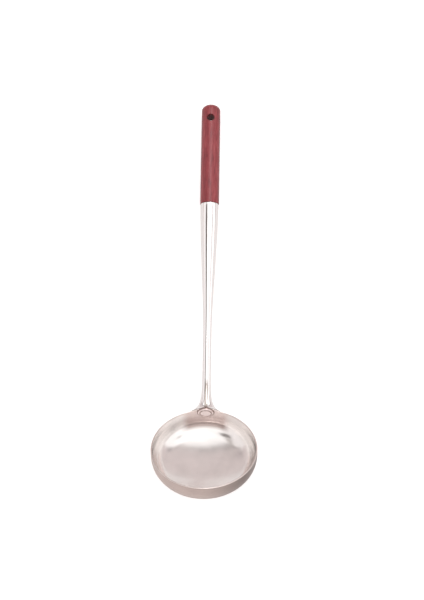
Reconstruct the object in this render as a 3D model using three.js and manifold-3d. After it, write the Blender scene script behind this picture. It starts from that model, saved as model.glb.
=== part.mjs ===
// Wok ladle: a deep stainless bowl, a tapered tube welded to its wall, and a turned hardwood grip.
// Millimetres, +Z up. The ladle lies on a table on its bowl and the end of its grip, with the bowl
// towards -Y and the grip towards +Y. The origin is on the table under the middle of its box.

import * as THREE from "three";
import { mergeVertices } from "three/addons/utils/BufferGeometryUtils.js";
import Module from "manifold-3d";

const wasm = await Module();
wasm.setup();

// Driving dimensions -----------------------------------------------------------------------------

// Bowl. Its own frame has the lip plane at z = 0, the opening up and the handle towards +y.
const RIM_RADIUS = 57.5; // outside of the lip
const SKIRT_HEIGHT = 8; // straight wall under the lip
const SHOULDER_RADIUS = 22.5; // curve between the skirt and the shallow bottom
const BOTTOM_RADIUS = 136.6; // curve of the bottom
const BOWL_SHEET = 1.5;
const LUG_RISE = 3.9; // how far the lip rises in front of the neck
const LUG_HALF_WIDTH = 22;

// Joint between the bowl's wall and the neck.
const JOINT_DROP = 3.4; // neck axis below the lip plane, where it leaves the wall
const JOINT_HOLE_RADIUS = 4;
const CAP_DROP = 1.5; // middle of the cap below the lip plane
const CAP_HALF_WIDTH = 9.8; // base of the oval button that closes the hole
const CAP_FACE_HALF_WIDTH = 6.3;
const CAP_OVAL = 0.66; // its height over its width
const CAP_HEIGHT = 2.8; // how far it stands off the wall
const CAP_SPIGOT_LENGTH = 7.5; // from the bowl's inner wall into the neck
const WELD_WIDTH = 1.4; // leg of the fillet weld around the foot
const WELD_HEIGHT = 0.9;

// Handle tube. Its stations are distances along the handle from the bowl's wall.
const HANDLE_RISE = THREE.MathUtils.degToRad(37); // handle axis above the lip plane
const NECK_STUB = 2; // straight run square to the wall, before the bend
const BEND_RADIUS = 30;
const TUBE_WALL = 1;
const NECK_RADIUS = 4.8;
const MOUTH_RADIUS = 10.4;
const FOOT_RADIUS = 18; // trumpet foot on the wall
const FOOT_TOP_SHARE = 0.3; // the foot is flattened above its axis to stay on the lug
const FLARE_FADE = 8; // distance in which the flare drops to a third
const FOOT_BLEND = 20; // distance in which the flattening ends
const TAPER_START = 85;
const SEAM_STATION = 246; // mouth of the tube, where the grip starts

// Grip and its fixing.
const GRIP_PROUD = 0.6; // the grip's surface stands this far outside the tube's mouth
const GRIP_LENGTH = 123;
const GRIP_END_DOME = 7.5; // length of the rounded end
const GRIP_CHAMFER = 0.5;
const SPIGOT_LENGTH = 14; // turned end of the grip inside the tube
const HANG_HOLE_RADIUS = 4.5;
const HANG_HOLE_FROM_END = 19;
const STUD_RADIUS = 3;
const STUD_IN_GRIP = 45; // from the seam to the stud's tip
const BUSH_LENGTH = 9;
const BUSH_SETBACK = 1; // between the spigot's end and the bush
const STUD_PAST_BUSH = 3;

const CLEARANCE = 0.3; // between pieces that touch

// Facets.
const BOWL_FACETS = 72;
const BOTTOM_ROWS = 5;
const SHOULDER_ROWS = 8;
const TUBE_FACETS = 32;
const TURNED_FACETS = 40;

// Materials --------------------------------------------------------------------------------------

const satinSteel = new THREE.MeshStandardMaterial({ color: 0xc9c2bf, roughness: 0.35, metalness: 1 });
const polishedSteel = new THREE.MeshStandardMaterial({ color: 0xdcd8d6, roughness: 0.08, metalness: 1 });
const weldSteel = new THREE.MeshStandardMaterial({ color: 0xbdb5b1, roughness: 0.3, metalness: 1 });
const plainSteel = new THREE.MeshStandardMaterial({ color: 0xa9a7a5, roughness: 0.45, metalness: 1 });
const redHardwood = new THREE.MeshStandardMaterial({ color: 0x8e3b42, roughness: 0.5, metalness: 0 });

// Shape helpers ----------------------------------------------------------------------------------

// A surface through rings of equal point count. It closes on itself, or runs from one end point to
// the other.
function skin(rings, ends) {
  const count = rings[0].length;
  const points = rings.flat();
  const faces = [];
  const bands = ends ? rings.length - 1 : rings.length;
  for (let band = 0; band < bands; band++) {
    const low = band * count;
    const high = ((band + 1) % rings.length) * count;
    for (let i = 0; i < count; i++) {
      const next = (i + 1) % count;
      faces.push(low + i, low + next, high + next, low + i, high + next, high + i);
    }
  }
  if (ends) {
    const first = points.push(ends[0]) - 1;
    const last = points.push(ends[1]) - 1;
    const top = (rings.length - 1) * count;
    for (let i = 0; i < count; i++) {
      const next = (i + 1) % count;
      faces.push(first, next, i, last, top + i, top + next);
    }
  }
  const geometry = new THREE.BufferGeometry().setFromPoints(points);
  geometry.setIndex(faces);
  return geometry;
}

// A ring of points, one for each facet, from a function of the angle.
function ring(facets, pointAt) {
  return Array.from({ length: facets }, (_, i) => pointAt((i / facets) * 2 * Math.PI));
}

// A solid of revolution around the y axis, from [radius, y] pairs.
function turned(profile, facets = TURNED_FACETS) {
  return new THREE.LatheGeometry(
    profile.map(([radius, y]) => new THREE.Vector2(radius, y)),
    facets,
  );
}

function toSolid(geometry) {
  const bare = geometry.clone();
  bare.deleteAttribute("normal");
  bare.deleteAttribute("uv");
  const merged = mergeVertices(bare, 1e-4);
  return new wasm.Manifold(
    new wasm.Mesh({
      numProp: 3,
      vertProperties: new Float32Array(merged.attributes.position.array),
      triVerts: new Uint32Array(merged.index.array),
    }),
  );
}

function toGeometry(solid) {
  const { vertProperties, triVerts } = solid.getMesh();
  const geometry = new THREE.BufferGeometry();
  geometry.setAttribute("position", new THREE.BufferAttribute(vertProperties, 3));
  geometry.setIndex(new THREE.BufferAttribute(triVerts, 1));
  return geometry;
}

// Points of a quarter ellipse from [startRadius, startY], leaving along y, to the axis side.
function quarterEllipse(centre, radius, height, steps) {
  return Array.from({ length: steps + 1 }, (_, i) => {
    const angle = (i / steps) * (Math.PI / 2);
    return [centre[0] + radius * Math.cos(angle), centre[1] + height * Math.sin(angle)];
  });
}

// Bowl -------------------------------------------------------------------------------------------

// The section is a straight skirt, a round shoulder and a shallow bottom that meets it smoothly.
const shoulderMiddle = RIM_RADIUS - SHOULDER_RADIUS; // from the bowl's axis
const bottomAngle = Math.asin(shoulderMiddle / (BOTTOM_RADIUS - SHOULDER_RADIUS));
// Centre of the bottom's curve, above the lip plane.
const bottomMiddle = (BOTTOM_RADIUS - SHOULDER_RADIUS) * Math.cos(bottomAngle) - SKIRT_HEIGHT;
const bowlDepth = BOTTOM_RADIUS - bottomMiddle; // lip plane to the outside of the bottom

// Radius of the bowl's surface at a height, for the outer skin (inset 0) or a skin inside it.
function bowlRadius(z, inset = 0) {
  const shoulder = SHOULDER_RADIUS - inset;
  const drop = Math.max(0, -SKIRT_HEIGHT - z);
  if (drop <= shoulder * Math.cos(bottomAngle)) return shoulderMiddle + Math.sqrt(shoulder ** 2 - drop ** 2);
  return Math.sqrt(Math.max(0, (BOTTOM_RADIUS - inset) ** 2 - (bottomMiddle - z) ** 2));
}

// Heights of the section's rows, from near the bottom up to the lip, at even steps of slope.
function bowlLevels(inset, split = 1) {
  const bottomRows = BOTTOM_ROWS * split;
  const shoulderRows = SHOULDER_ROWS * split;
  const bottom = Array.from({ length: bottomRows }, (_, i) => {
    const slope = ((i + 1) / bottomRows) * bottomAngle;
    return bottomMiddle - (BOTTOM_RADIUS - inset) * Math.cos(slope);
  });
  const shoulder = Array.from({ length: shoulderRows }, (_, i) => {
    const slope = THREE.MathUtils.lerp(bottomAngle, Math.PI / 2, (i + 1) / shoulderRows);
    return -SKIRT_HEIGHT - (SHOULDER_RADIUS - inset) * Math.cos(slope);
  });
  return [...bottom, ...shoulder, -SKIRT_HEIGHT / 2, 0];
}

// How far the lip stands above its plane at a distance from the middle of the lug.
function lugRise(x) {
  const share = Math.min(1, Math.abs(x) / LUG_HALF_WIDTH);
  return (LUG_RISE * (1 + Math.cos(Math.PI * share))) / 2;
}

// One skin of the bowl, as rings from near the bottom up to the lip.
function bowlRings(inset) {
  return bowlLevels(inset).map((level) => {
    const liftShare = Math.max(0, 1 + level / SKIRT_HEIGHT);
    return ring(BOWL_FACETS, (angle) => {
      const onHandleSide = Math.cos(angle) > 0;
      const lift = onHandleSide ? lugRise(RIM_RADIUS * Math.sin(angle)) * liftShare : 0;
      const radius = bowlRadius(level, inset);
      return new THREE.Vector3(-radius * Math.sin(angle), radius * Math.cos(angle), level + lift);
    });
  });
}

function bowlGeometry() {
  const outer = bowlRings(0);
  const inner = bowlRings(BOWL_SHEET).reverse();
  const ends = [new THREE.Vector3(0, 0, -bowlDepth), new THREE.Vector3(0, 0, BOWL_SHEET - bowlDepth)];
  const shell = toSolid(skin([...outer, ...inner], ends));
  const hole = new THREE.CylinderGeometry(JOINT_HOLE_RADIUS, JOINT_HOLE_RADIUS, RIM_RADIUS, TURNED_FACETS);
  hole.translate(0, RIM_RADIUS, -JOINT_DROP);
  return toGeometry(shell.subtract(toSolid(hole)));
}

// Joint ------------------------------------------------------------------------------------------

// y of the bowl's outer wall behind a point of the joint.
function wallY(x, z) {
  const radius = bowlRadius(z);
  return Math.sqrt(Math.max(0, radius * radius - x * x));
}

const jointWallY = wallY(0, -JOINT_DROP);

// The room inside the bowl, a clearance off its inner wall and open above the lip.
function roomInBowl() {
  const inset = BOWL_SHEET + CLEARANCE;
  const top = LUG_RISE + CAP_HALF_WIDTH;
  const wall = bowlLevels(inset, 2).map((z) => [bowlRadius(z, inset), z]);
  const bottom = inset - bowlDepth;
  const room = turned([[0, bottom], ...wall, [RIM_RADIUS - inset, top], [0, top]], 2 * BOWL_FACETS);
  room.rotateX(Math.PI / 2);
  return toSolid(room);
}

// The button inside the bowl that closes the joint's hole, with a spigot through the wall.
function capGeometry() {
  const wall = jointWallY - BOWL_SHEET;
  const face = wall - CAP_HEIGHT;
  const edge = CAP_HALF_WIDTH - CAP_FACE_HALF_WIDTH;
  const shoulder = quarterEllipse([CAP_FACE_HALF_WIDTH, wall], edge, -CAP_HEIGHT, 6);
  const back = wall + BOWL_SHEET;
  const head = turned([[0, face], ...shoulder.reverse(), [CAP_HALF_WIDTH, back], [0, back]]);
  const spigotSize = JOINT_HOLE_RADIUS - CLEARANCE;
  const spigot = turned([
    [0, wall - CAP_HEIGHT / 2],
    [spigotSize, wall - CAP_HEIGHT / 2],
    [spigotSize, wall + CAP_SPIGOT_LENGTH],
    [0, wall + CAP_SPIGOT_LENGTH],
  ]);
  head.scale(1, 1, CAP_OVAL);
  head.translate(0, 0, -CAP_DROP);
  spigot.translate(0, 0, -JOINT_DROP);
  return toGeometry(toSolid(head).intersect(roomInBowl()).add(toSolid(spigot)));
}

// How much the tube's section is flattened above its axis: most at the foot, then round.
function topShare(station, angle) {
  if (Math.cos(angle) <= 0) return 1;
  return THREE.MathUtils.lerp(FOOT_TOP_SHARE, 1, THREE.MathUtils.smoothstep(station, 0, FOOT_BLEND));
}

// A point near the foot's edge: 'offset' outside it and 'height' off the bowl's wall.
function footPoint(offset, height, angle) {
  const x = (FOOT_RADIUS + offset) * Math.sin(angle);
  const z = (FOOT_RADIUS * topShare(0, angle) + offset) * Math.cos(angle) - JOINT_DROP;
  return new THREE.Vector3(x, wallY(x, z) + height, z);
}

// The ground fillet weld around the edge of the foot.
function weldGeometry() {
  const section = [
    [CLEARANCE, CLEARANCE],
    [CLEARANCE + WELD_WIDTH, CLEARANCE],
    [CLEARANCE + WELD_WIDTH / 2, CLEARANCE + WELD_HEIGHT / 3],
    [CLEARANCE, CLEARANCE + WELD_HEIGHT],
  ];
  const rings = section.map(([offset, height]) =>
    ring(TURNED_FACETS, (angle) => footPoint(offset, height, angle)),
  );
  return skin(rings);
}

// Handle tube ------------------------------------------------------------------------------------

// Centre and upward direction of the handle's section at a station.
function handleFrame(station) {
  const bend = THREE.MathUtils.clamp((station - NECK_STUB) / BEND_RADIUS, 0, HANDLE_RISE);
  const straight = Math.max(0, station - NECK_STUB - BEND_RADIUS * HANDLE_RISE);
  const y = Math.min(station, NECK_STUB) + BEND_RADIUS * Math.sin(bend) + straight * Math.cos(HANDLE_RISE);
  const z = BEND_RADIUS * (1 - Math.cos(bend)) + straight * Math.sin(HANDLE_RISE);
  return {
    centre: new THREE.Vector3(0, jointWallY + y, z - JOINT_DROP),
    up: new THREE.Vector3(0, -Math.sin(bend), Math.cos(bend)),
  };
}

function tubeRadius(station) {
  const taper = THREE.MathUtils.smoothstep(station, TAPER_START, SEAM_STATION);
  const flare = (FOOT_RADIUS - NECK_RADIUS) * Math.exp(-station / FLARE_FADE);
  return NECK_RADIUS + (MOUTH_RADIUS - NECK_RADIUS) * taper + flare;
}

// Bore of the tube: one wall inside its surface, measured square to it.
function boreRadius(station) {
  const step = 0.01;
  const slope = (tubeRadius(station + step) - tubeRadius(station - step)) / (2 * step);
  return tubeRadius(station) - TUBE_WALL * Math.hypot(1, slope);
}

// One section of the tube. Near the foot it is flattened on top and follows the bowl's wall.
function tubeRing(station, radius) {
  const { centre, up } = handleFrame(station);
  const footShare = Math.exp(-station / FLARE_FADE);
  return ring(TUBE_FACETS, (angle) => {
    const rise = radius * Math.cos(angle) * topShare(station, angle);
    const point = centre.clone().addScaledVector(up, rise);
    point.x += radius * Math.sin(angle);
    point.y += CLEARANCE + footShare * (wallY(point.x, point.z) - jointWallY);
    return point;
  });
}

function tubeGeometry() {
  const flareSteps = 11;
  const neckSteps = 3;
  const taperSteps = 12;
  const flareEnd = 4 * FLARE_FADE;
  const mouth = SEAM_STATION - CLEARANCE;
  const stations = [];
  for (let i = 0; i < flareSteps; i++) stations.push(flareEnd * (i / flareSteps) ** 1.5);
  for (let i = 0; i < neckSteps; i++) stations.push(flareEnd + ((TAPER_START - flareEnd) * i) / neckSteps);
  for (let i = 0; i <= taperSteps; i++) stations.push(TAPER_START + ((mouth - TAPER_START) * i) / taperSteps);
  const outer = stations.map((station) => tubeRing(station, tubeRadius(station)));
  const bore = stations.map((station) => tubeRing(station, boreRadius(station))).reverse();
  return skin([...outer, ...bore]);
}

// Grip and its fixing, in the frame of the seam: y runs along the handle to the grip's end -------

const gripRadius = MOUTH_RADIUS + GRIP_PROUD;
const spigotRadius = boreRadius(SEAM_STATION - SPIGOT_LENGTH) - CLEARANCE;
const studBoreRadius = STUD_RADIUS + CLEARANCE;
const bushNear = -SPIGOT_LENGTH - BUSH_SETBACK;
const bushFar = bushNear - BUSH_LENGTH;

function gripGeometry() {
  const boreEnd = STUD_IN_GRIP + CLEARANCE;
  const straightEnd = GRIP_LENGTH - GRIP_END_DOME;
  const body = turned([
    [0, boreEnd],
    [studBoreRadius, boreEnd],
    [studBoreRadius, -SPIGOT_LENGTH],
    [spigotRadius, -SPIGOT_LENGTH],
    [spigotRadius, 0],
    [gripRadius - GRIP_CHAMFER, 0],
    [gripRadius, GRIP_CHAMFER],
    ...quarterEllipse([0, straightEnd], gripRadius, GRIP_END_DOME, 7),
  ]);
  const hole = new THREE.CylinderGeometry(HANG_HOLE_RADIUS, HANG_HOLE_RADIUS, 4 * gripRadius, TUBE_FACETS);
  hole.rotateX(Math.PI / 2);
  hole.translate(0, GRIP_LENGTH - HANG_HOLE_FROM_END, 0);
  return toGeometry(toSolid(body).subtract(toSolid(hole)));
}

// The threaded bush brazed inside the tube's mouth, sized to the bore at its narrow end.
function bushGeometry() {
  const outside = boreRadius(SEAM_STATION + bushFar) - CLEARANCE;
  return turned([
    [studBoreRadius, bushFar],
    [outside, bushFar],
    [outside, bushNear],
    [studBoreRadius, bushNear],
    [studBoreRadius, bushFar],
  ]);
}

// The stud that joins the bush and the grip, with pointed ends.
function studGeometry() {
  const low = bushFar - STUD_PAST_BUSH;
  const point = STUD_RADIUS / 2;
  return turned(
    [
      [0, low],
      [STUD_RADIUS - point, low],
      [STUD_RADIUS, low + point],
      [STUD_RADIUS, STUD_IN_GRIP - point],
      [STUD_RADIUS - point, STUD_IN_GRIP],
      [0, STUD_IN_GRIP],
    ],
    TURNED_FACETS / 2,
  );
}

// Assembly ---------------------------------------------------------------------------------------

function piece(name, geometry, material) {
  const mesh = new THREE.Mesh(geometry, material);
  mesh.name = name;
  return mesh;
}

const seam = new THREE.Group();
seam.position.copy(handleFrame(SEAM_STATION).centre);
seam.position.y += CLEARANCE;
seam.rotation.x = HANDLE_RISE;
const grip = piece("grip", gripGeometry(), redHardwood);
seam.add(
  grip,
  piece("socket_bush", bushGeometry(), plainSteel),
  piece("grip_stud", studGeometry(), plainSteel),
);

const ladle = new THREE.Group();
const bowl = piece("bowl", bowlGeometry(), satinSteel);
ladle.add(
  bowl,
  piece("handle_tube", tubeGeometry(), polishedSteel),
  piece("joint_cap", capGeometry(), polishedSteel),
  piece("joint_weld", weldGeometry(), weldSteel),
  seam,
);

// At rest the bowl and the grip touch the table together. The tilt that does it lies between level
// and upright, and halving the interval finds it.
function lowestPoint(mesh) {
  return new THREE.Box3().setFromObject(mesh, true).min.z;
}

function restTilt() {
  let gripHigh = 0;
  let gripLow = -Math.PI / 2;
  for (let i = 0; i < 40; i++) {
    const middle = (gripHigh + gripLow) / 2;
    ladle.rotation.x = middle;
    ladle.updateMatrixWorld(true);
    if (lowestPoint(grip) > lowestPoint(bowl)) gripHigh = middle;
    else gripLow = middle;
  }
  return (gripHigh + gripLow) / 2;
}

ladle.rotation.x = restTilt();
ladle.updateMatrixWorld(true);
const extent = new THREE.Box3().setFromObject(ladle, true);
ladle.position.set(-(extent.min.x + extent.max.x) / 2, -(extent.min.y + extent.max.y) / 2, -extent.min.z);

const wokLadle = new THREE.Group();
wokLadle.add(ladle);

export default wokLadle;
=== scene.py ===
import math

import bmesh
import bpy
import numpy as np
from mathutils import Matrix, Vector


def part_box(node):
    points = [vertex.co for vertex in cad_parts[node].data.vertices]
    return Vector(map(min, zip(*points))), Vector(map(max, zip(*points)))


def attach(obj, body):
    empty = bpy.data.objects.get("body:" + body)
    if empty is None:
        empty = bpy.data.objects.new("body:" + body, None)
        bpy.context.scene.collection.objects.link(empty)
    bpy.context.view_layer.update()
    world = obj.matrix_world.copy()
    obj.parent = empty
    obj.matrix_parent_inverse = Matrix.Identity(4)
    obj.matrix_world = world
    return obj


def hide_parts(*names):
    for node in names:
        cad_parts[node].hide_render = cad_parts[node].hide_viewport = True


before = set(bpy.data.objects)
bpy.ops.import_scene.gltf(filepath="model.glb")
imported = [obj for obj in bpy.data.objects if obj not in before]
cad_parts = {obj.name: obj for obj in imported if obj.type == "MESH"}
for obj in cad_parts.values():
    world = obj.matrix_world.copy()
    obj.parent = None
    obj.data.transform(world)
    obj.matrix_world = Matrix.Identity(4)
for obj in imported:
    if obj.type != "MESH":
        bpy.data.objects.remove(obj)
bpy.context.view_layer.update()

# Sizes, in millimetres -----------------------------------------------------------------------------

MM = 0.001

RIM_RADIUS = 57.5
BOWL_DEPTH = 36.0
SKIRT_HEIGHT = 8.0
SHOULDER_RADIUS = 22.5
BOWL_SHEET = 1.5
LUG_RISE = 3.9
LUG_HALF_WIDTH = 22.0

JOINT_DROP = 3.4
CAP_HALF_WIDTH = 9.8
CAP_DROP = 1.5
CAP_GROOVE = 0.66  # where the ring groove runs, as a share of the cap's half width
CAP_GROOVE_DEPTH = 0.16  # share of the cap's height
CAP_GROOVE_WIDTH = 0.05
CAP_OVAL = 0.66
CAP_HEIGHT = 2.8
CAP_CROWN = 5  # higher is flatter in the middle and rounder at the edge
CAP_SUNK = 0.3  # share of the cap's height that is sunk in the bowl's wall
WELD_WIDTH = 1.8
WELD_HEIGHT = 1.2
WELD_UNDER = 0.4

HANDLE_RISE = math.radians(37)
NECK_STUB = 2.0
BEND_RADIUS = 30.0
TUBE_WALL = 1.0
NECK_RADIUS = 4.8
MOUTH_RADIUS = 10.4
MOUTH_ROUND = 0.3
FOOT_RADIUS = 18.0
FOOT_TOP_SHARE = 0.3
FOOT_BLEND = 20.0
FLARE_FADE = 8.0
TAPER_START = 85.0
SEAM_STATION = 246.0

GRIP_RADIUS = 11.0
GRIP_LENGTH = 123.0
GRIP_END_DOME = 7.5
GRIP_EDGE = 0.6
SPIGOT_RADIUS = 8.7
SPIGOT_LENGTH = 14.0
HANG_HOLE_RADIUS = 4.5
HANG_HOLE_FROM_END = 19.0
HOLE_EDGE = 0.45

CLEARANCE = 0.3

# Rows and steps of the meshes.
BOWL_SECTORS = 192
BOTTOM_ROWS = 24
SHOULDER_ROWS = 28
SKIRT_ROWS = 8
LIP_STEPS = 6
ROUND_SIDES = 96
FLARE_STEPS = 44
STRAIGHT_STEPS = 90
MOUTH_STEPS = 4
CAP_STEPS = 30
WELD_STEPS = 8
GRIP_SIDES = 128
GRIP_EDGE_STEPS = 4
GRIP_STEPS = 90
DOME_STEPS = 22
HOLE_SIDES = 64
HOLE_LEVELS = 12
HOLE_EDGE_STEPS = 3

# Colours, as linear red, green and blue.
STEEL = (0.93, 0.90, 0.885)
OUTSIDE_STEEL = (0.66, 0.555, 0.52)
LIP_STEEL = (0.78, 0.71, 0.68)
TUBE_STEEL = (0.96, 0.945, 0.94)
CAP_STEEL = (0.80, 0.70, 0.68)
WELD_STEEL = (0.62, 0.54, 0.51)
# painted shade for the cap's groove and edge, strongest in its upper half
CAP_RING_SHADE = (0.36, 0.27, 0.25)
# painted brown reflection along the middle of the tube's neck
NECK_TINT = (0.50, 0.45, 0.42)
HIDDEN_DARK = (0.34, 0.33, 0.32)
HIDDEN_PALE = (0.42, 0.41, 0.4)
WOOD_STREAKS = [
    (0.30, (0.16, 0.012, 0.018)),
    (0.46, (0.25, 0.024, 0.032)),
    (0.58, (0.31, 0.040, 0.048)),
    (0.72, (0.40, 0.085, 0.090)),
]
WOOD_WAVE = (0.17, 0.012, 0.018)
WOOD_FLECK = (0.11, 0.010, 0.014)

# The painted brown reflection inside the bowl under the joint, and the painted shade on the right side
# outside, as shares of the steel's own colour.
TINT_HALF_WIDTH = 23.0
TINT_DEPTH = 21.0
TINT_FADE = 4.0
TINT_BOTTOM_FADE = 1.5
PALE_TINT = (0.84, 0.75, 0.73)
DEEP_TINT = (0.48, 0.41, 0.39)
# Painted shade on the bowl's right side outside, and where it starts and ends along x.
FLANK_TINT = 0.42
FLANK_START = 4.0
FLANK_END = 42.0
# Where the painted brown reflection runs along the middle of the tube's neck.
NECK_TINT_START = 1.5
NECK_TINT_END = 2.3
NECK_TINT_LAST = 84.0
NECK_TINT_FADE = 6.0

FLOOR_HALF = 6.0
FLOOR_DARK = (0.78, 0.77, 0.765)
FLOOR_PALE = (0.80, 0.79, 0.785)
FLOOR_GLOW = 0.5
BACKDROP = (0.95, 0.95, 0.95)

# The studio's surroundings: a grey ground and patches laid over it in turn. Each patch has a low and a
# high edge and a soft edge along the handle, the same across it, in degrees from straight up, and a tone.
GREY_SIDE = (0.70, 0.615, 0.605)
STUDIO = [
    # white roof, and a duller one to the left
    ((-120, 54, 1.5), (-34, 120, 3), (1.25, 1.22, 1.21)),
    ((-120, 57, 3), (-120, -35, 3), (1.00, 0.95, 0.94)),
    # dark strips between the lamps, which draw the lines on the tube
    ((3, 22, 3), (-44, -25, 2), (0.14, 0.12, 0.11)),
    ((24, 60, 4), (-42, -30, 3), (0.55, 0.50, 0.48)),
    ((8, 22, 3), (39, 47, 2), (0.5, 0.46, 0.45)),
    # dark edge of the roof, the wall behind the bowl and three darker spots along the roof's edge
    ((53, 57, 1.5), (-62, 40, 4), (0.32, 0.28, 0.27)),
    ((-120, -46, 6), (-120, 120, 5), (0.62, 0.53, 0.50)),
    ((52, 58, 2), (-32, -12, 6), (0.30, 0.26, 0.26)),
    ((53, 62, 3), (46, 66, 5), (0.36, 0.31, 0.31)),
    ((63, 70, 3), (-68, -50, 5), (0.45, 0.39, 0.39)),
]

# Softbox over the grip, in metres.
KEY_AIM = Vector((0, 0.16, 0.02))
KEY_WAY = Vector((0.10, 0.26, 1.0))
KEY_DISTANCE = 1.3
KEY_WIDTH = 0.25
KEY_LENGTH = 0.6
KEY_RADIANCE = 4.5

# Camera, in the bowl's frame and in metres.
CAMERA_PLACE = Vector((0.0467, -0.8878, 0.9484))
CAMERA_AIM = Vector((0.0069, 0.1097, 0.1157))
CAMERA_TOP = Vector((-0.009, 0.6406, 0.7678))
CAMERA_LENS = 72.0


# The bowl's section: a straight skirt, a round shoulder and a shallow bottom that meets it smoothly.
SHOULDER_MIDDLE = RIM_RADIUS - SHOULDER_RADIUS
DISH = BOWL_DEPTH - SKIRT_HEIGHT
BOTTOM_RADIUS = (SHOULDER_MIDDLE**2 + DISH**2 - SHOULDER_RADIUS**2) / (2 * (DISH - SHOULDER_RADIUS))
BOTTOM_MIDDLE = BOTTOM_RADIUS - BOWL_DEPTH
BOTTOM_ANGLE = math.asin(SHOULDER_MIDDLE / (BOTTOM_RADIUS - SHOULDER_RADIUS))


# Places --------------------------------------------------------------------------------------------


def end_of(node, highest):
    """The middle of a CAD node's end face along Y."""
    points = np.array([v.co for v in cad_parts[node].data.vertices])
    along = points[:, 1]
    edge = along.max() if highest else along.min()
    return points[abs(along - edge) < 0.1 * MM].mean(axis=0)


def bowl_place():
    """Matrix from the bowl's frame (millimetres, lip at z = 0, handle towards y) to the row frame."""
    low, high = end_of("grip_stud", False), end_of("grip_stud", True)
    tilt = HANDLE_RISE - math.atan2(high[2] - low[2], high[1] - low[1])
    box_low, box_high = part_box("bowl")
    reach = SHOULDER_MIDDLE * math.cos(tilt) + SKIRT_HEIGHT * math.sin(tilt) + SHOULDER_RADIUS
    y = box_low[1] + reach * MM
    z = box_high[2] - RIM_RADIUS * math.sin(tilt) * MM
    return Matrix.Translation((0, y, z)) @ Matrix.Rotation(-tilt, 4, "X") @ Matrix.Scale(MM, 4)


BOWL_PLACE = bowl_place()


# Shapes --------------------------------------------------------------------------------------------


def smoothstep(value, low, high):
    """0 below low, 1 above high and a smooth rise between."""
    share = np.clip((value - low) / (high - low), 0, 1)
    return share * share * (3 - 2 * share)


def bowl_radius(z, inset=0.0):
    """Radius of the bowl at a height, on its outer face or on a face inset from it."""
    drop = np.maximum(0, -SKIRT_HEIGHT - z)
    shoulder = SHOULDER_MIDDLE + np.sqrt(np.maximum(0, (SHOULDER_RADIUS - inset) ** 2 - drop**2))
    bottom = np.sqrt(np.maximum(0, (BOTTOM_RADIUS - inset) ** 2 - (BOTTOM_MIDDLE - z) ** 2))
    return np.where(drop <= (SHOULDER_RADIUS - inset) * math.cos(BOTTOM_ANGLE), shoulder, bottom)


def bowl_levels(inset, top):
    """Heights of the bowl's rows, from near the bottom up to the lip, at even steps of slope."""
    levels = []
    for i in range(BOTTOM_ROWS):
        slope = BOTTOM_ANGLE * (i + 1) / BOTTOM_ROWS
        levels.append(BOTTOM_MIDDLE - (BOTTOM_RADIUS - inset) * math.cos(slope))
    for i in range(SHOULDER_ROWS):
        slope = BOTTOM_ANGLE + (math.pi / 2 - BOTTOM_ANGLE) * (i + 1) / SHOULDER_ROWS
        levels.append(-SKIRT_HEIGHT - (SHOULDER_RADIUS - inset) * math.cos(slope))
    for i in range(SKIRT_ROWS):
        levels.append(-SKIRT_HEIGHT + (SKIRT_HEIGHT + top) * (i + 1) / SKIRT_ROWS)
    return levels


def lug_rise(x):
    """How far the lip rises at the handle, a distance x beside its middle."""
    share = np.minimum(1, abs(x) / LUG_HALF_WIDTH)
    return LUG_RISE * (1 + np.cos(np.pi * share)) / 2


def wall_y(x, z, inset=0.0):
    """How far towards the handle the bowl's wall lies."""
    return np.sqrt(np.maximum(0, bowl_radius(z, inset) ** 2 - x**2))


JOINT_Y = float(wall_y(0, -JOINT_DROP))


def handle_frame(station):
    """Centre and upward direction of the handle's section at a station along it."""
    bend = np.clip((station - NECK_STUB) / BEND_RADIUS, 0, HANDLE_RISE)
    straight = max(0, station - NECK_STUB - BEND_RADIUS * HANDLE_RISE)
    y = min(station, NECK_STUB) + BEND_RADIUS * math.sin(bend) + straight * math.cos(HANDLE_RISE)
    z = BEND_RADIUS * (1 - math.cos(bend)) + straight * math.sin(HANDLE_RISE)
    centre = np.array([0, JOINT_Y + y, z - JOINT_DROP])
    return centre, np.array([0, -math.sin(bend), math.cos(bend)])


def tube_radius(station):
    """Outer radius of the handle tube: a slow taper and a trumpet foot."""
    taper = smoothstep(station, TAPER_START, SEAM_STATION)
    flare = (FOOT_RADIUS - NECK_RADIUS) * math.exp(-station / FLARE_FADE)
    return float(NECK_RADIUS + (MOUTH_RADIUS - NECK_RADIUS) * taper + flare)


def bore_radius(station):
    """Inner radius of the tube, one wall inside its outer face."""
    step = 0.01
    slope = (tube_radius(station + step) - tube_radius(station - step)) / (2 * step)
    return tube_radius(station) - TUBE_WALL * math.hypot(1, slope)


def top_share(station, angles):
    """The foot's upper half is flatter than its lower half; this is its share of the full radius."""
    share = FOOT_TOP_SHARE + (1 - FOOT_TOP_SHARE) * smoothstep(station, 0, FOOT_BLEND)
    return np.where(np.cos(angles) > 0, share, 1.0)


def around(count):
    """Even angles around a full turn."""
    return np.arange(count) * 2 * np.pi / count


# Pieces --------------------------------------------------------------------------------------------


def skin(name, rings, place, ends=None):
    """A smooth closed mesh through rings of equal count, which join up or run between two points."""
    rings = np.array(rings, dtype=float)
    bands, count = rings.shape[:2]
    points = [tuple(p) for p in rings.reshape(-1, 3)]
    faces = []
    for band in range(bands - 1 if ends else bands):
        low, high = band * count, (band + 1) % bands * count
        for i in range(count):
            j = (i + 1) % count
            faces.append((low + i, low + j, high + j, high + i))
    if ends:
        first, last = len(points), len(points) + 1
        points += [tuple(ends[0]), tuple(ends[1])]
        top = (bands - 1) * count
        for i in range(count):
            j = (i + 1) % count
            faces.append((first, j, i))
            faces.append((last, top + i, top + j))
    mesh = bpy.data.meshes.new(name)
    mesh.from_pydata(points, [], faces)
    mesh.polygons.foreach_set("use_smooth", [True] * len(faces))
    piece = bpy.data.objects.new(name, mesh)
    bpy.context.scene.collection.objects.link(piece)
    piece.matrix_world = place
    bpy.context.view_layer.update()
    return piece


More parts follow.
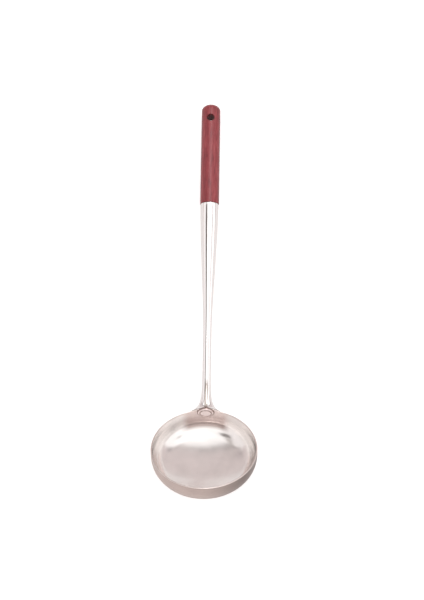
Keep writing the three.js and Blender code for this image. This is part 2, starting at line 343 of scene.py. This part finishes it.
def settle(piece):
    """Moves a piece's place into its mesh, and keeps the piece's own coordinates as an attribute."""
    mesh = piece.data
    own = mesh.attributes.new("place", "FLOAT_VECTOR", "POINT")
    own.data.foreach_set("vector", [value for v in mesh.vertices for value in v.co])
    mesh.transform(piece.matrix_world)
    piece.matrix_world = Matrix.Identity(4)
    bpy.context.view_layer.update()


def finish_piece(piece, nodes, slot, *materials):
    """Gives a piece its materials, hides the CAD nodes it replaces and attaches it to the root body."""
    settle(piece)
    for material in materials:
        piece.data.materials.append(material)
    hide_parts(*nodes)
    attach(piece, "root")


def make_bowl(inside, outside, lip):
    """The bowl's sheet: outer face, rounded lip and inner face, with the lip raised at the handle."""
    angles = around(BOWL_SECTORS)
    half = BOWL_SHEET / 2
    lift = np.where(np.cos(angles) > 0, lug_rise(RIM_RADIUS * np.sin(angles)), 0)

    def wall_ring(level, inset):
        share = max(0, (level + SKIRT_HEIGHT) / (SKIRT_HEIGHT - half))
        radius = bowl_radius(level, inset)
        return np.stack([-radius * np.sin(angles), radius * np.cos(angles), level + lift * share], axis=1)

    def lip_ring(turn):
        radius = RIM_RADIUS - half + half * math.cos(turn)
        z = lift - half + half * math.sin(turn)
        return np.stack([-radius * np.sin(angles), radius * np.cos(angles), z], axis=1)

    outer = [wall_ring(level, 0) for level in bowl_levels(0, -half)[:-1]]
    rounded = [lip_ring(step / LIP_STEPS * math.pi) for step in range(LIP_STEPS + 1)]
    inner = [wall_ring(level, BOWL_SHEET) for level in bowl_levels(BOWL_SHEET, -half)[-2::-1]]
    ends = ((0, 0, -BOWL_DEPTH), (0, 0, BOWL_SHEET - BOWL_DEPTH))
    bowl = skin("ladle_bowl", outer + rounded + inner, BOWL_PLACE, ends)
    finish_piece(bowl, ["bowl"], "bowl_steel", inside, outside, lip)
    # Bands take the outside, lip and inside materials in turn; the two end fans come last, in pairs.
    in_inside, in_outside, in_lip = range(3)
    bands = [in_outside] * len(outer) + [in_lip] * (len(rounded) - 1) + [in_inside] * len(inner)
    zone = [band for band in bands for _ in range(BOWL_SECTORS)]
    zone += [in_outside, in_inside] * BOWL_SECTORS
    bowl.data.polygons.foreach_set("material_index", zone)


def make_tube(material):
    """The tapered tube: outer face, rounded mouth and bore, following the bowl's wall at its foot."""
    angles = around(ROUND_SIDES)
    mouth = SEAM_STATION - CLEARANCE

    def tube_ring(station, radius):
        centre, up = handle_frame(station)
        foot_share = math.exp(-station / FLARE_FADE)
        rise = radius * np.cos(angles) * top_share(station, angles)
        points = centre + rise[:, None] * up
        points[:, 0] += radius * np.sin(angles)
        points[:, 1] += CLEARANCE + foot_share * (wall_y(points[:, 0], points[:, 2]) - JOINT_Y)
        return points

    flare_end = 5 * FLARE_FADE
    last = mouth - MOUTH_ROUND
    stations = [flare_end * (i / FLARE_STEPS) ** 1.5 for i in range(FLARE_STEPS)]
    stations += [flare_end + (last - flare_end) * i / STRAIGHT_STEPS for i in range(STRAIGHT_STEPS)]
    outer = [tube_ring(s, tube_radius(s)) for s in stations]
    for i in range(MOUTH_STEPS + 1):
        turn = i / MOUTH_STEPS * math.pi / 2
        shrink = MOUTH_ROUND * (1 - math.cos(turn))
        station = last + MOUTH_ROUND * math.sin(turn)
        outer.append(tube_ring(station, tube_radius(station) - shrink))
    bore = [tube_ring(s, bore_radius(s)) for s in reversed(stations + [mouth])]
    tube = skin("ladle_tube", outer + bore, BOWL_PLACE)
    finish_piece(tube, ["handle_tube"], "tube_steel", material)


def make_cap(material):
    """The oval button inside the bowl, with a ring groove."""
    angles = around(ROUND_SIDES)
    inset = BOWL_SHEET
    face_y = JOINT_Y - inset - CAP_HEIGHT

    def cap_ring(share, height):
        x = CAP_HALF_WIDTH * share * np.sin(angles)
        z = CAP_HALF_WIDTH * CAP_OVAL * share * np.cos(angles) - CAP_DROP
        wall = wall_y(x, z, inset)
        return np.stack([x, wall + (face_y - wall) * height, z], axis=1)

    rings = []
    for i in range(1, CAP_STEPS + 1):
        share = math.sin(i / CAP_STEPS * math.pi / 2)
        groove = CAP_GROOVE_DEPTH * math.exp(-(((share - CAP_GROOVE) / CAP_GROOVE_WIDTH) ** 2))
        rings.append(cap_ring(share, math.sqrt(1 - share**CAP_CROWN) - groove))
    rings += [cap_ring(share, -CAP_SUNK) for share in (1.0, 0.5)]
    middle_y = JOINT_Y - inset + CAP_HEIGHT * CAP_SUNK
    ends = ((0, face_y, -CAP_DROP), (0, middle_y, -CAP_DROP))
    cap = skin("ladle_joint_cap", rings, BOWL_PLACE, ends)
    finish_piece(cap, ["joint_cap"], "tube_steel", material)


def make_weld(material):
    """The hollow fillet around the tube's foot, lying on the bowl's wall."""
    angles = around(ROUND_SIDES)

    def weld_ring(offset, height):
        x = (FOOT_RADIUS + offset) * np.sin(angles)
        z = (FOOT_RADIUS * top_share(0, angles) + offset) * np.cos(angles) - JOINT_DROP
        return np.stack([x, wall_y(x, z) + height, z], axis=1)

    rings = []
    for i in range(WELD_STEPS + 1):
        turn = i / WELD_STEPS * math.pi / 2
        offset = WELD_WIDTH * (1 - math.sin(turn)) - WELD_UNDER
        rings.append(weld_ring(offset, WELD_HEIGHT * (1 - math.cos(turn)) + 0.02))
    rings.append(weld_ring(-0.6, 0.05))
    weld = skin("ladle_joint_weld", rings, BOWL_PLACE)
    finish_piece(weld, ["joint_weld"], "weld_steel", material)


def make_grip(material):
    """The turned grip with its spigot, rounded end and hanging hole."""
    angles = around(GRIP_SIDES)
    start = GRIP_LENGTH - GRIP_END_DOME
    profile = [(SPIGOT_RADIUS, -SPIGOT_LENGTH), (SPIGOT_RADIUS, -0.02), (SPIGOT_RADIUS, 0.0)]
    profile.append((GRIP_RADIUS - GRIP_EDGE - 0.02, 0.0))
    for i in range(GRIP_EDGE_STEPS + 1):
        turn = i / GRIP_EDGE_STEPS * math.pi / 2
        edge = GRIP_EDGE * (1 - math.cos(turn))
        profile.append((GRIP_RADIUS - GRIP_EDGE + GRIP_EDGE * math.sin(turn), edge))
    for i in range(GRIP_STEPS):
        profile.append((GRIP_RADIUS, GRIP_EDGE + (start - GRIP_EDGE) * (i + 1) / GRIP_STEPS))
    for i in range(1, DOME_STEPS):
        turn = i / DOME_STEPS * math.pi / 2
        profile.append((GRIP_RADIUS * math.cos(turn), start + GRIP_END_DOME * math.sin(turn)))
    rings = [np.stack([r * np.sin(angles), np.full(GRIP_SIDES, y), r * np.cos(angles)], axis=1)
             for r, y in profile]
    place = BOWL_PLACE @ grip_frame()
    grip = skin("ladle_grip", rings, place, ((0, -SPIGOT_LENGTH, 0), (0, GRIP_LENGTH, 0)))

    middle = GRIP_LENGTH - HANG_HOLE_FROM_END
    reach = 2 * GRIP_RADIUS
    hole_angles = around(HOLE_SIDES)
    x = HANG_HOLE_RADIUS * np.sin(hole_angles)
    y = middle + HANG_HOLE_RADIUS * np.cos(hole_angles)
    levels = np.linspace(-reach, reach, HOLE_LEVELS)
    hole_rings = [np.stack([x, y, np.full(HOLE_SIDES, level)], axis=1) for level in levels]
    cutter = skin("hole_cutter", hole_rings, place, ((0, middle, -reach), (0, middle, reach)))
    recalculate(cutter)
    recalculate(grip)
    hole = grip.modifiers.new("hole", "BOOLEAN")
    hole.operation = "DIFFERENCE"
    hole.object = cutter
    hole.solver = "EXACT"
    edge = grip.modifiers.new("edge", "BEVEL")
    edge.width = HOLE_EDGE * MM
    edge.segments = HOLE_EDGE_STEPS
    edge.limit_method = "ANGLE"
    edge.angle_limit = 0.9
    edge.use_clamp_overlap = True
    bake_modifiers(grip)
    bpy.data.objects.remove(cutter)
    finish_piece(grip, ["grip"], "grip_wood", material)


def recalculate(piece):
    """Turns every face of a closed mesh outward."""
    work = bmesh.new()
    work.from_mesh(piece.data)
    bmesh.ops.recalc_face_normals(work, faces=work.faces)
    work.to_mesh(piece.data)
    work.free()


def bake_modifiers(piece):
    """Applies a piece's modifiers to its mesh."""
    depsgraph = bpy.context.evaluated_depsgraph_get()
    mesh = bpy.data.meshes.new_from_object(piece.evaluated_get(depsgraph))
    piece.modifiers.clear()
    piece.data = mesh


def grip_frame():
    """The seam's frame in the bowl's: y runs along the handle to the grip's end."""
    centre, _ = handle_frame(SEAM_STATION)
    seam = Matrix.Translation((0, centre[1] + CLEARANCE, centre[2]))
    return seam @ Matrix.Rotation(HANDLE_RISE, 4, "X")


# Materials -----------------------------------------------------------------------------------------


def scaled(colour, share):
    return tuple(share * c for c in colour)


def tinted(colour, tint):
    return tuple(c * t for c, t in zip(colour, tint))


class Nodes:
    """A short way to write a tree of shader nodes."""

    def __init__(self, tree):
        self.tree = tree

    def add(self, kind, **values):
        node = self.tree.nodes.new(kind)
        for key, value in values.items():
            setattr(node, key, value)
        return node

    def link(self, source, target):
        self.tree.links.new(source, target)

    def math(self, operation, first, second=None):
        node = self.add("ShaderNodeMath", operation=operation)
        for socket, value in zip(node.inputs, (first, second)):
            if value is None:
                continue
            if isinstance(value, (int, float)):
                socket.default_value = value
            else:
                self.link(value, socket)
        return node.outputs[0]

    def noise(self, vector, scale, detail=4.0, roughness=0.5, distortion=0.0):
        node = self.add("ShaderNodeTexNoise")
        self.link(vector, node.inputs["Vector"])
        for key, value in (("Scale", scale), ("Detail", detail), ("Roughness", roughness),
                           ("Distortion", distortion)):
            node.inputs[key].default_value = value
        return node.outputs["Fac"]

    def span(self, value, low, high, from_low=0.0, from_high=1.0):
        """Runs from low to high while the value runs from from_low to from_high."""
        node = self.add("ShaderNodeMapRange")
        self.link(value, node.inputs["Value"])
        for key, number in (("From Min", from_low), ("From Max", from_high), ("To Min", low),
                            ("To Max", high)):
            node.inputs[key].default_value = number
        return node.outputs["Result"]

    def ramp(self, value, stops):
        node = self.add("ShaderNodeValToRGB")
        self.link(value, node.inputs["Fac"])
        elements = node.color_ramp.elements
        while len(elements) < len(stops):
            elements.new(0.5)
        for element, (place, colour) in zip(elements, stops):
            element.position = place
            element.color = (*colour, 1)
        return node.outputs["Color"]

    def mix(self, share, first, second):
        node = self.add("ShaderNodeMix", data_type="RGBA")
        for socket, value in ((node.inputs[0], share), (node.inputs[6], first), (node.inputs[7], second)):
            if isinstance(value, (int, float)):
                socket.default_value = value
            elif isinstance(value, tuple):
                socket.default_value = (*value, 1)
            else:
                self.link(value, socket)
        return node.outputs[2]

    def times(self, first, *others):
        for other in others:
            first = self.math("MULTIPLY", first, other)
        return first

    def place(self):
        """The piece's own coordinates, in millimetres."""
        return self.add("ShaderNodeAttribute", attribute_name="place").outputs["Vector"]

    def parts(self, vector):
        node = self.add("ShaderNodeSeparateXYZ")
        self.link(vector, node.inputs[0])
        return node.outputs

    def join(self, x, y, z):
        node = self.add("ShaderNodeCombineXYZ")
        for socket, value in zip(node.inputs, (x, y, z)):
            if isinstance(value, (int, float)):
                socket.default_value = value
            else:
                self.link(value, socket)
        return node.outputs[0]

    def bump(self, height, strength, distance, below=None):
        node = self.add("ShaderNodeBump")
        node.inputs["Strength"].default_value = strength
        node.inputs["Distance"].default_value = distance
        self.link(height, node.inputs["Height"])
        if below is not None:
            self.link(below, node.inputs["Normal"])
        return node.outputs[0]


class MaterialNodes(Nodes):
    """The nodes of a new material, which end in its shader."""

    def __init__(self, name):
        self.material = bpy.data.materials.new(name)
        self.material.use_nodes = True
        super().__init__(self.material.node_tree)
        self.shader = self.tree.nodes["Principled BSDF"]

    def shade(self, colour=None, roughness=None, normal=None, **values):
        for name, socket in (("Base Color", colour), ("Roughness", roughness), ("Normal", normal)):
            if socket is not None:
                self.link(socket, self.shader.inputs[name])
        for name, value in values.items():
            self.shader.inputs[name.replace("_", " ")].default_value = value
        return self.material


def ringed_steel(name, colour, roughness, ring_depth, spread, painted_reflection=False, painted_flank_shade=False):
    """Satin steel, brushed in fine rings around the bowl's axis."""
    nodes = MaterialNodes(name)
    place = nodes.place()
    x, y, z = nodes.parts(place)
    radius = nodes.math("SQRT", nodes.math("ADD", nodes.times(x, x), nodes.times(y, y)))
    turn = nodes.math("ARCTAN2", y, x)
    arc = nodes.join(nodes.times(radius, 1.6), nodes.times(z, 1.6), nodes.times(turn, 0.9))
    rings = nodes.noise(arc, scale=1.5, detail=6, roughness=0.7)
    cloud = nodes.noise(place, scale=0.05, detail=3, roughness=0.5)
    tint = nodes.mix(nodes.span(cloud, 0, 1, 0.3, 0.7), scaled(colour, 0.9), colour)
    tint = nodes.mix(nodes.span(rings, 0.0, 0.35, 0.45, 0.75), tint, scaled(colour, 0.8))
    # Painted reflection: a brown patch on the inner wall under the joint, deeper in tone towards its
    # lower edge.
    if painted_reflection:
        low, high = TINT_HALF_WIDTH - TINT_FADE, TINT_HALF_WIDTH + TINT_FADE
        beside = nodes.span(nodes.math("ABSOLUTE", x), 1, 0, low, high)
        above = nodes.span(z, 0, 1, -TINT_DEPTH - TINT_BOTTOM_FADE, -TINT_DEPTH + TINT_BOTTOM_FADE)
        deeper = nodes.span(z, 1, 0, -TINT_DEPTH + 4, -TINT_DEPTH + 9)
        at_weld = nodes.times(beside, above, nodes.span(y, 0, 1, 10, 20))
        brown_reflection = nodes.mix(deeper, tinted(colour, PALE_TINT), tinted(colour, DEEP_TINT))
        tint = nodes.mix(at_weld, tint, brown_reflection)
    # Painted shade: the outside darkens towards its right side.
    if painted_flank_shade:
        flank_shade = nodes.span(x, 0, 1, FLANK_START, FLANK_END)
        tint = nodes.mix(flank_shade, tint, scaled(colour, FLANK_TINT))
    rough = nodes.math("ADD", nodes.span(rings, roughness - spread, roughness + spread, 0.3, 0.7),
                       nodes.span(cloud, -0.02, 0.02, 0.3, 0.7))
    normal = nodes.bump(rings, ring_depth, 0.00004)
    return nodes.shade(tint, rough, normal, Metallic=1.0)


def polished_steel(name, colour, roughness, painted_ring_shade=False, painted_neck_reflection=False):
    """Mirror-polished steel with faint wiping marks and a slightly uneven surface."""
    nodes = MaterialNodes(name)
    place = nodes.place()
    x, y, z = nodes.parts(place)
    drawn = nodes.join(x, nodes.times(y, 0.05), nodes.times(z, 0.1))
    marks = nodes.noise(drawn, scale=3.0, detail=5, roughness=0.65)
    swell = nodes.noise(place, scale=0.06, detail=2, roughness=0.4)
    rough = nodes.span(marks, roughness, roughness + 0.06, 0.35, 0.75)
    tint = nodes.mix(nodes.span(marks, 0, 1, 0.4, 0.8), colour, scaled(colour, 0.94))
    # Painted shade in the cap's groove and at its edge.
    if painted_ring_shade:
        tint = paint_cap_shade(nodes, x, z, tint)
    # Painted brown reflection: a narrow stripe along the middle of the tube near the bowl.
    if painted_neck_reflection:
        middle = nodes.span(nodes.math("ABSOLUTE", x), 1, 0, NECK_TINT_START, NECK_TINT_END)
        near = nodes.span(y, 1, 0, NECK_TINT_LAST, NECK_TINT_LAST + NECK_TINT_FADE)
        tint = nodes.mix(nodes.times(middle, near), tint, NECK_TINT)
    normal = nodes.bump(swell, 0.25, 0.001)
    return nodes.shade(tint, rough, normal, Metallic=1.0)


def paint_cap_shade(nodes, x, z, tint):
    """Paints shade into the cap's groove and at its edge, most in its upper half."""
    up = nodes.times(nodes.math("ADD", z, CAP_DROP), 1 / (CAP_HALF_WIDTH * CAP_OVAL))
    side = nodes.times(x, 1 / CAP_HALF_WIDTH)
    share = nodes.math("SQRT", nodes.math("ADD", nodes.times(up, up), nodes.times(side, side)))
    from_groove = nodes.math("ABSOLUTE", nodes.math("SUBTRACT", share, CAP_GROOVE))
    groove = nodes.span(from_groove, 1, 0, 0.03, 0.10)
    ring_shade = nodes.math("MAXIMUM", groove, nodes.span(share, 0, 1, 0.86, 0.96))
    upper = nodes.span(up, 0.35, 1.0, -0.7, 0.2)
    return nodes.mix(nodes.times(ring_shade, upper), tint, CAP_RING_SHADE)


def red_hardwood():
    """Dark red hardwood with long grain, dark streaks and fine pores, smooth and slightly waxed."""
    nodes = MaterialNodes("red_hardwood")
    x, y, z = nodes.parts(nodes.place())

    def grain(stretch, scale, detail, roughness, distortion=0.0):
        along = nodes.join(x, nodes.times(y, stretch), z)
        return nodes.noise(along, scale, detail, roughness, distortion)

    wave = grain(0.035, 0.16, 3, 0.5, 0.6)
    streaks = grain(0.12, 0.55, 5, 0.6, 0.4)
    flecks = grain(0.3, 1.5, 4, 0.65)
    base = nodes.ramp(streaks, WOOD_STREAKS)
    base = nodes.mix(nodes.span(wave, 0.0, 0.5, 0.46, 0.64), base, WOOD_WAVE)
    base = nodes.mix(nodes.span(flecks, 0.0, 0.55, 0.54, 0.72), base, WOOD_FLECK)
    rough = nodes.math("ADD", nodes.span(streaks, 0.34, 0.42, 0.3, 0.7),
                       nodes.span(flecks, 0.0, 0.12, 0.55, 0.75))
    normal = nodes.bump(flecks, 0.5, 0.0003, nodes.bump(streaks, 0.2, 0.0004))
    return nodes.shade(base, rough, normal, Coat_Weight=0.25, Coat_Roughness=0.25)


def hidden_steel():
    """Plain turned steel for the fixing inside the handle."""
    nodes = MaterialNodes("turned_steel")
    y = nodes.parts(nodes.add("ShaderNodeTexCoord").outputs["Object"])[1]
    turned = nodes.join(0.0, nodes.times(y, 4000.0), 0.0)
    lines = nodes.noise(turned, scale=1.0, detail=3, roughness=0.6)
    tint = nodes.mix(lines, HIDDEN_DARK, HIDDEN_PALE)
    rough = nodes.span(lines, 0.35, 0.5)
    return nodes.shade(tint, rough, nodes.bump(lines, 0.3, 0.0001), Metallic=1.0)


# The ladle -----------------------------------------------------------------------------------------

inside_steel = ringed_steel("satin_inside", STEEL, 0.2, 0.25, 0.02, painted_reflection=True)
outside_steel = ringed_steel("brushed_outside", OUTSIDE_STEEL, 0.3, 0.8, 0.07, painted_flank_shade=True)
lip_steel = ringed_steel("polished_lip", LIP_STEEL, 0.25, 0.1, 0.02)
tube_steel = polished_steel("mirror_steel", TUBE_STEEL, 0.04, painted_neck_reflection=True)
cap_steel = polished_steel("cap_steel", CAP_STEEL, 0.16, painted_ring_shade=True)
weld_steel = polished_steel("weld_steel", WELD_STEEL, 0.12)

make_bowl(inside_steel, outside_steel, lip_steel)
make_tube(tube_steel)
make_cap(cap_steel)
make_weld(weld_steel)
make_grip(red_hardwood())

fixing_steel = hidden_steel()
for name in ("socket_bush", "grip_stud"):
    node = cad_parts[name]
    node.data.materials.clear()
    node.data.materials.append(fixing_steel)


# Floor, light and camera ---------------------------------------------------------------------------


def make_floor():
    """A plain pale floor, lifted to near white where the camera sees it."""
    mesh = bpy.data.meshes.new("floor")
    half = FLOOR_HALF
    corners = [(-half, -half, 0), (half, -half, 0), (half, half, 0), (-half, half, 0)]
    mesh.from_pydata(corners, [], [(0, 1, 2, 3)])
    floor = bpy.data.objects.new("floor", mesh)
    bpy.context.scene.collection.objects.link(floor)
    nodes = MaterialNodes("pale_floor")
    speck = nodes.noise(nodes.add("ShaderNodeTexCoord").outputs["Object"], 30, 3)
    tint = nodes.mix(speck, FLOOR_DARK, FLOOR_PALE)
    seen = nodes.add("ShaderNodeLightPath").outputs["Is Camera Ray"]
    nodes.link(nodes.times(seen, FLOOR_GLOW), nodes.shader.inputs["Emission Strength"])
    mesh.materials.append(nodes.shade(tint, Roughness=0.9, Emission_Color=(1, 1, 1, 1)))


def make_world():
    """Lays the studio's patches over the grey ground; the camera sees a plain backdrop."""
    world = bpy.data.worlds.new("studio")
    bpy.context.scene.world = world
    world.use_nodes = True
    nodes = Nodes(world.node_tree)
    background = nodes.tree.nodes["Background"]
    direction = nodes.add("ShaderNodeTexCoord").outputs["Generated"]
    x, y, z = nodes.parts(direction)
    across = nodes.math("ARCTAN2", x, z)
    along = nodes.math("ARCTAN2", y, z)

    def band(angle, low, high, soft):
        """1 between two angles in degrees, falling to 0 over soft edges."""
        rise = nodes.span(angle, 0, 1, math.radians(low - soft), math.radians(low + soft))
        fall = nodes.span(angle, 1, 0, math.radians(high - soft), math.radians(high + soft))
        return nodes.times(rise, fall)

    colour = GREY_SIDE
    for along_edges, across_edges, tone in STUDIO:
        patch = nodes.times(band(along, *along_edges), band(across, *across_edges))
        colour = nodes.mix(patch, colour, tone)
    seen = nodes.add("ShaderNodeLightPath").outputs["Is Camera Ray"]
    nodes.link(nodes.mix(seen, colour, BACKDROP), background.inputs["Color"])
    background.inputs["Strength"].default_value = 1.0


def make_key_light():
    """A small softbox above the grip, a little to the right."""
    data = bpy.data.lights.new("key_light", "AREA")
    data.shape = "RECTANGLE"
    data.size = KEY_WIDTH
    data.size_y = KEY_LENGTH
    data.energy = KEY_RADIANCE * math.pi * KEY_WIDTH * KEY_LENGTH
    light = bpy.data.objects.new("key_light", data)
    bpy.context.scene.collection.objects.link(light)
    light.location = KEY_AIM + KEY_WAY.normalized() * KEY_DISTANCE
    light.rotation_euler = KEY_WAY.to_track_quat("Z", "Y").to_euler()
    light.visible_camera = False


def make_camera():
    """The camera, held in the bowl's frame."""
    place = BOWL_PLACE @ Matrix.Scale(1 / MM, 4)
    eye, aim = place @ CAMERA_PLACE, place @ CAMERA_AIM
    back = (eye - aim).normalized()
    right = (place.to_3x3() @ CAMERA_TOP).cross(back).normalized()
    up = back.cross(right)
    data = bpy.data.cameras.new("camera")
    data.lens = CAMERA_LENS
    camera = bpy.data.objects.new("camera", data)
    bpy.context.scene.collection.objects.link(camera)
    turn = Matrix((right, up, back)).transposed()
    camera.matrix_world = Matrix.Translation(eye) @ turn.to_4x4()
    bpy.context.scene.camera = camera


make_floor()
make_world()
make_key_light()
make_camera()
bpy.context.scene.view_settings.view_transform = "Standard"

bpy.context.view_layer.update()
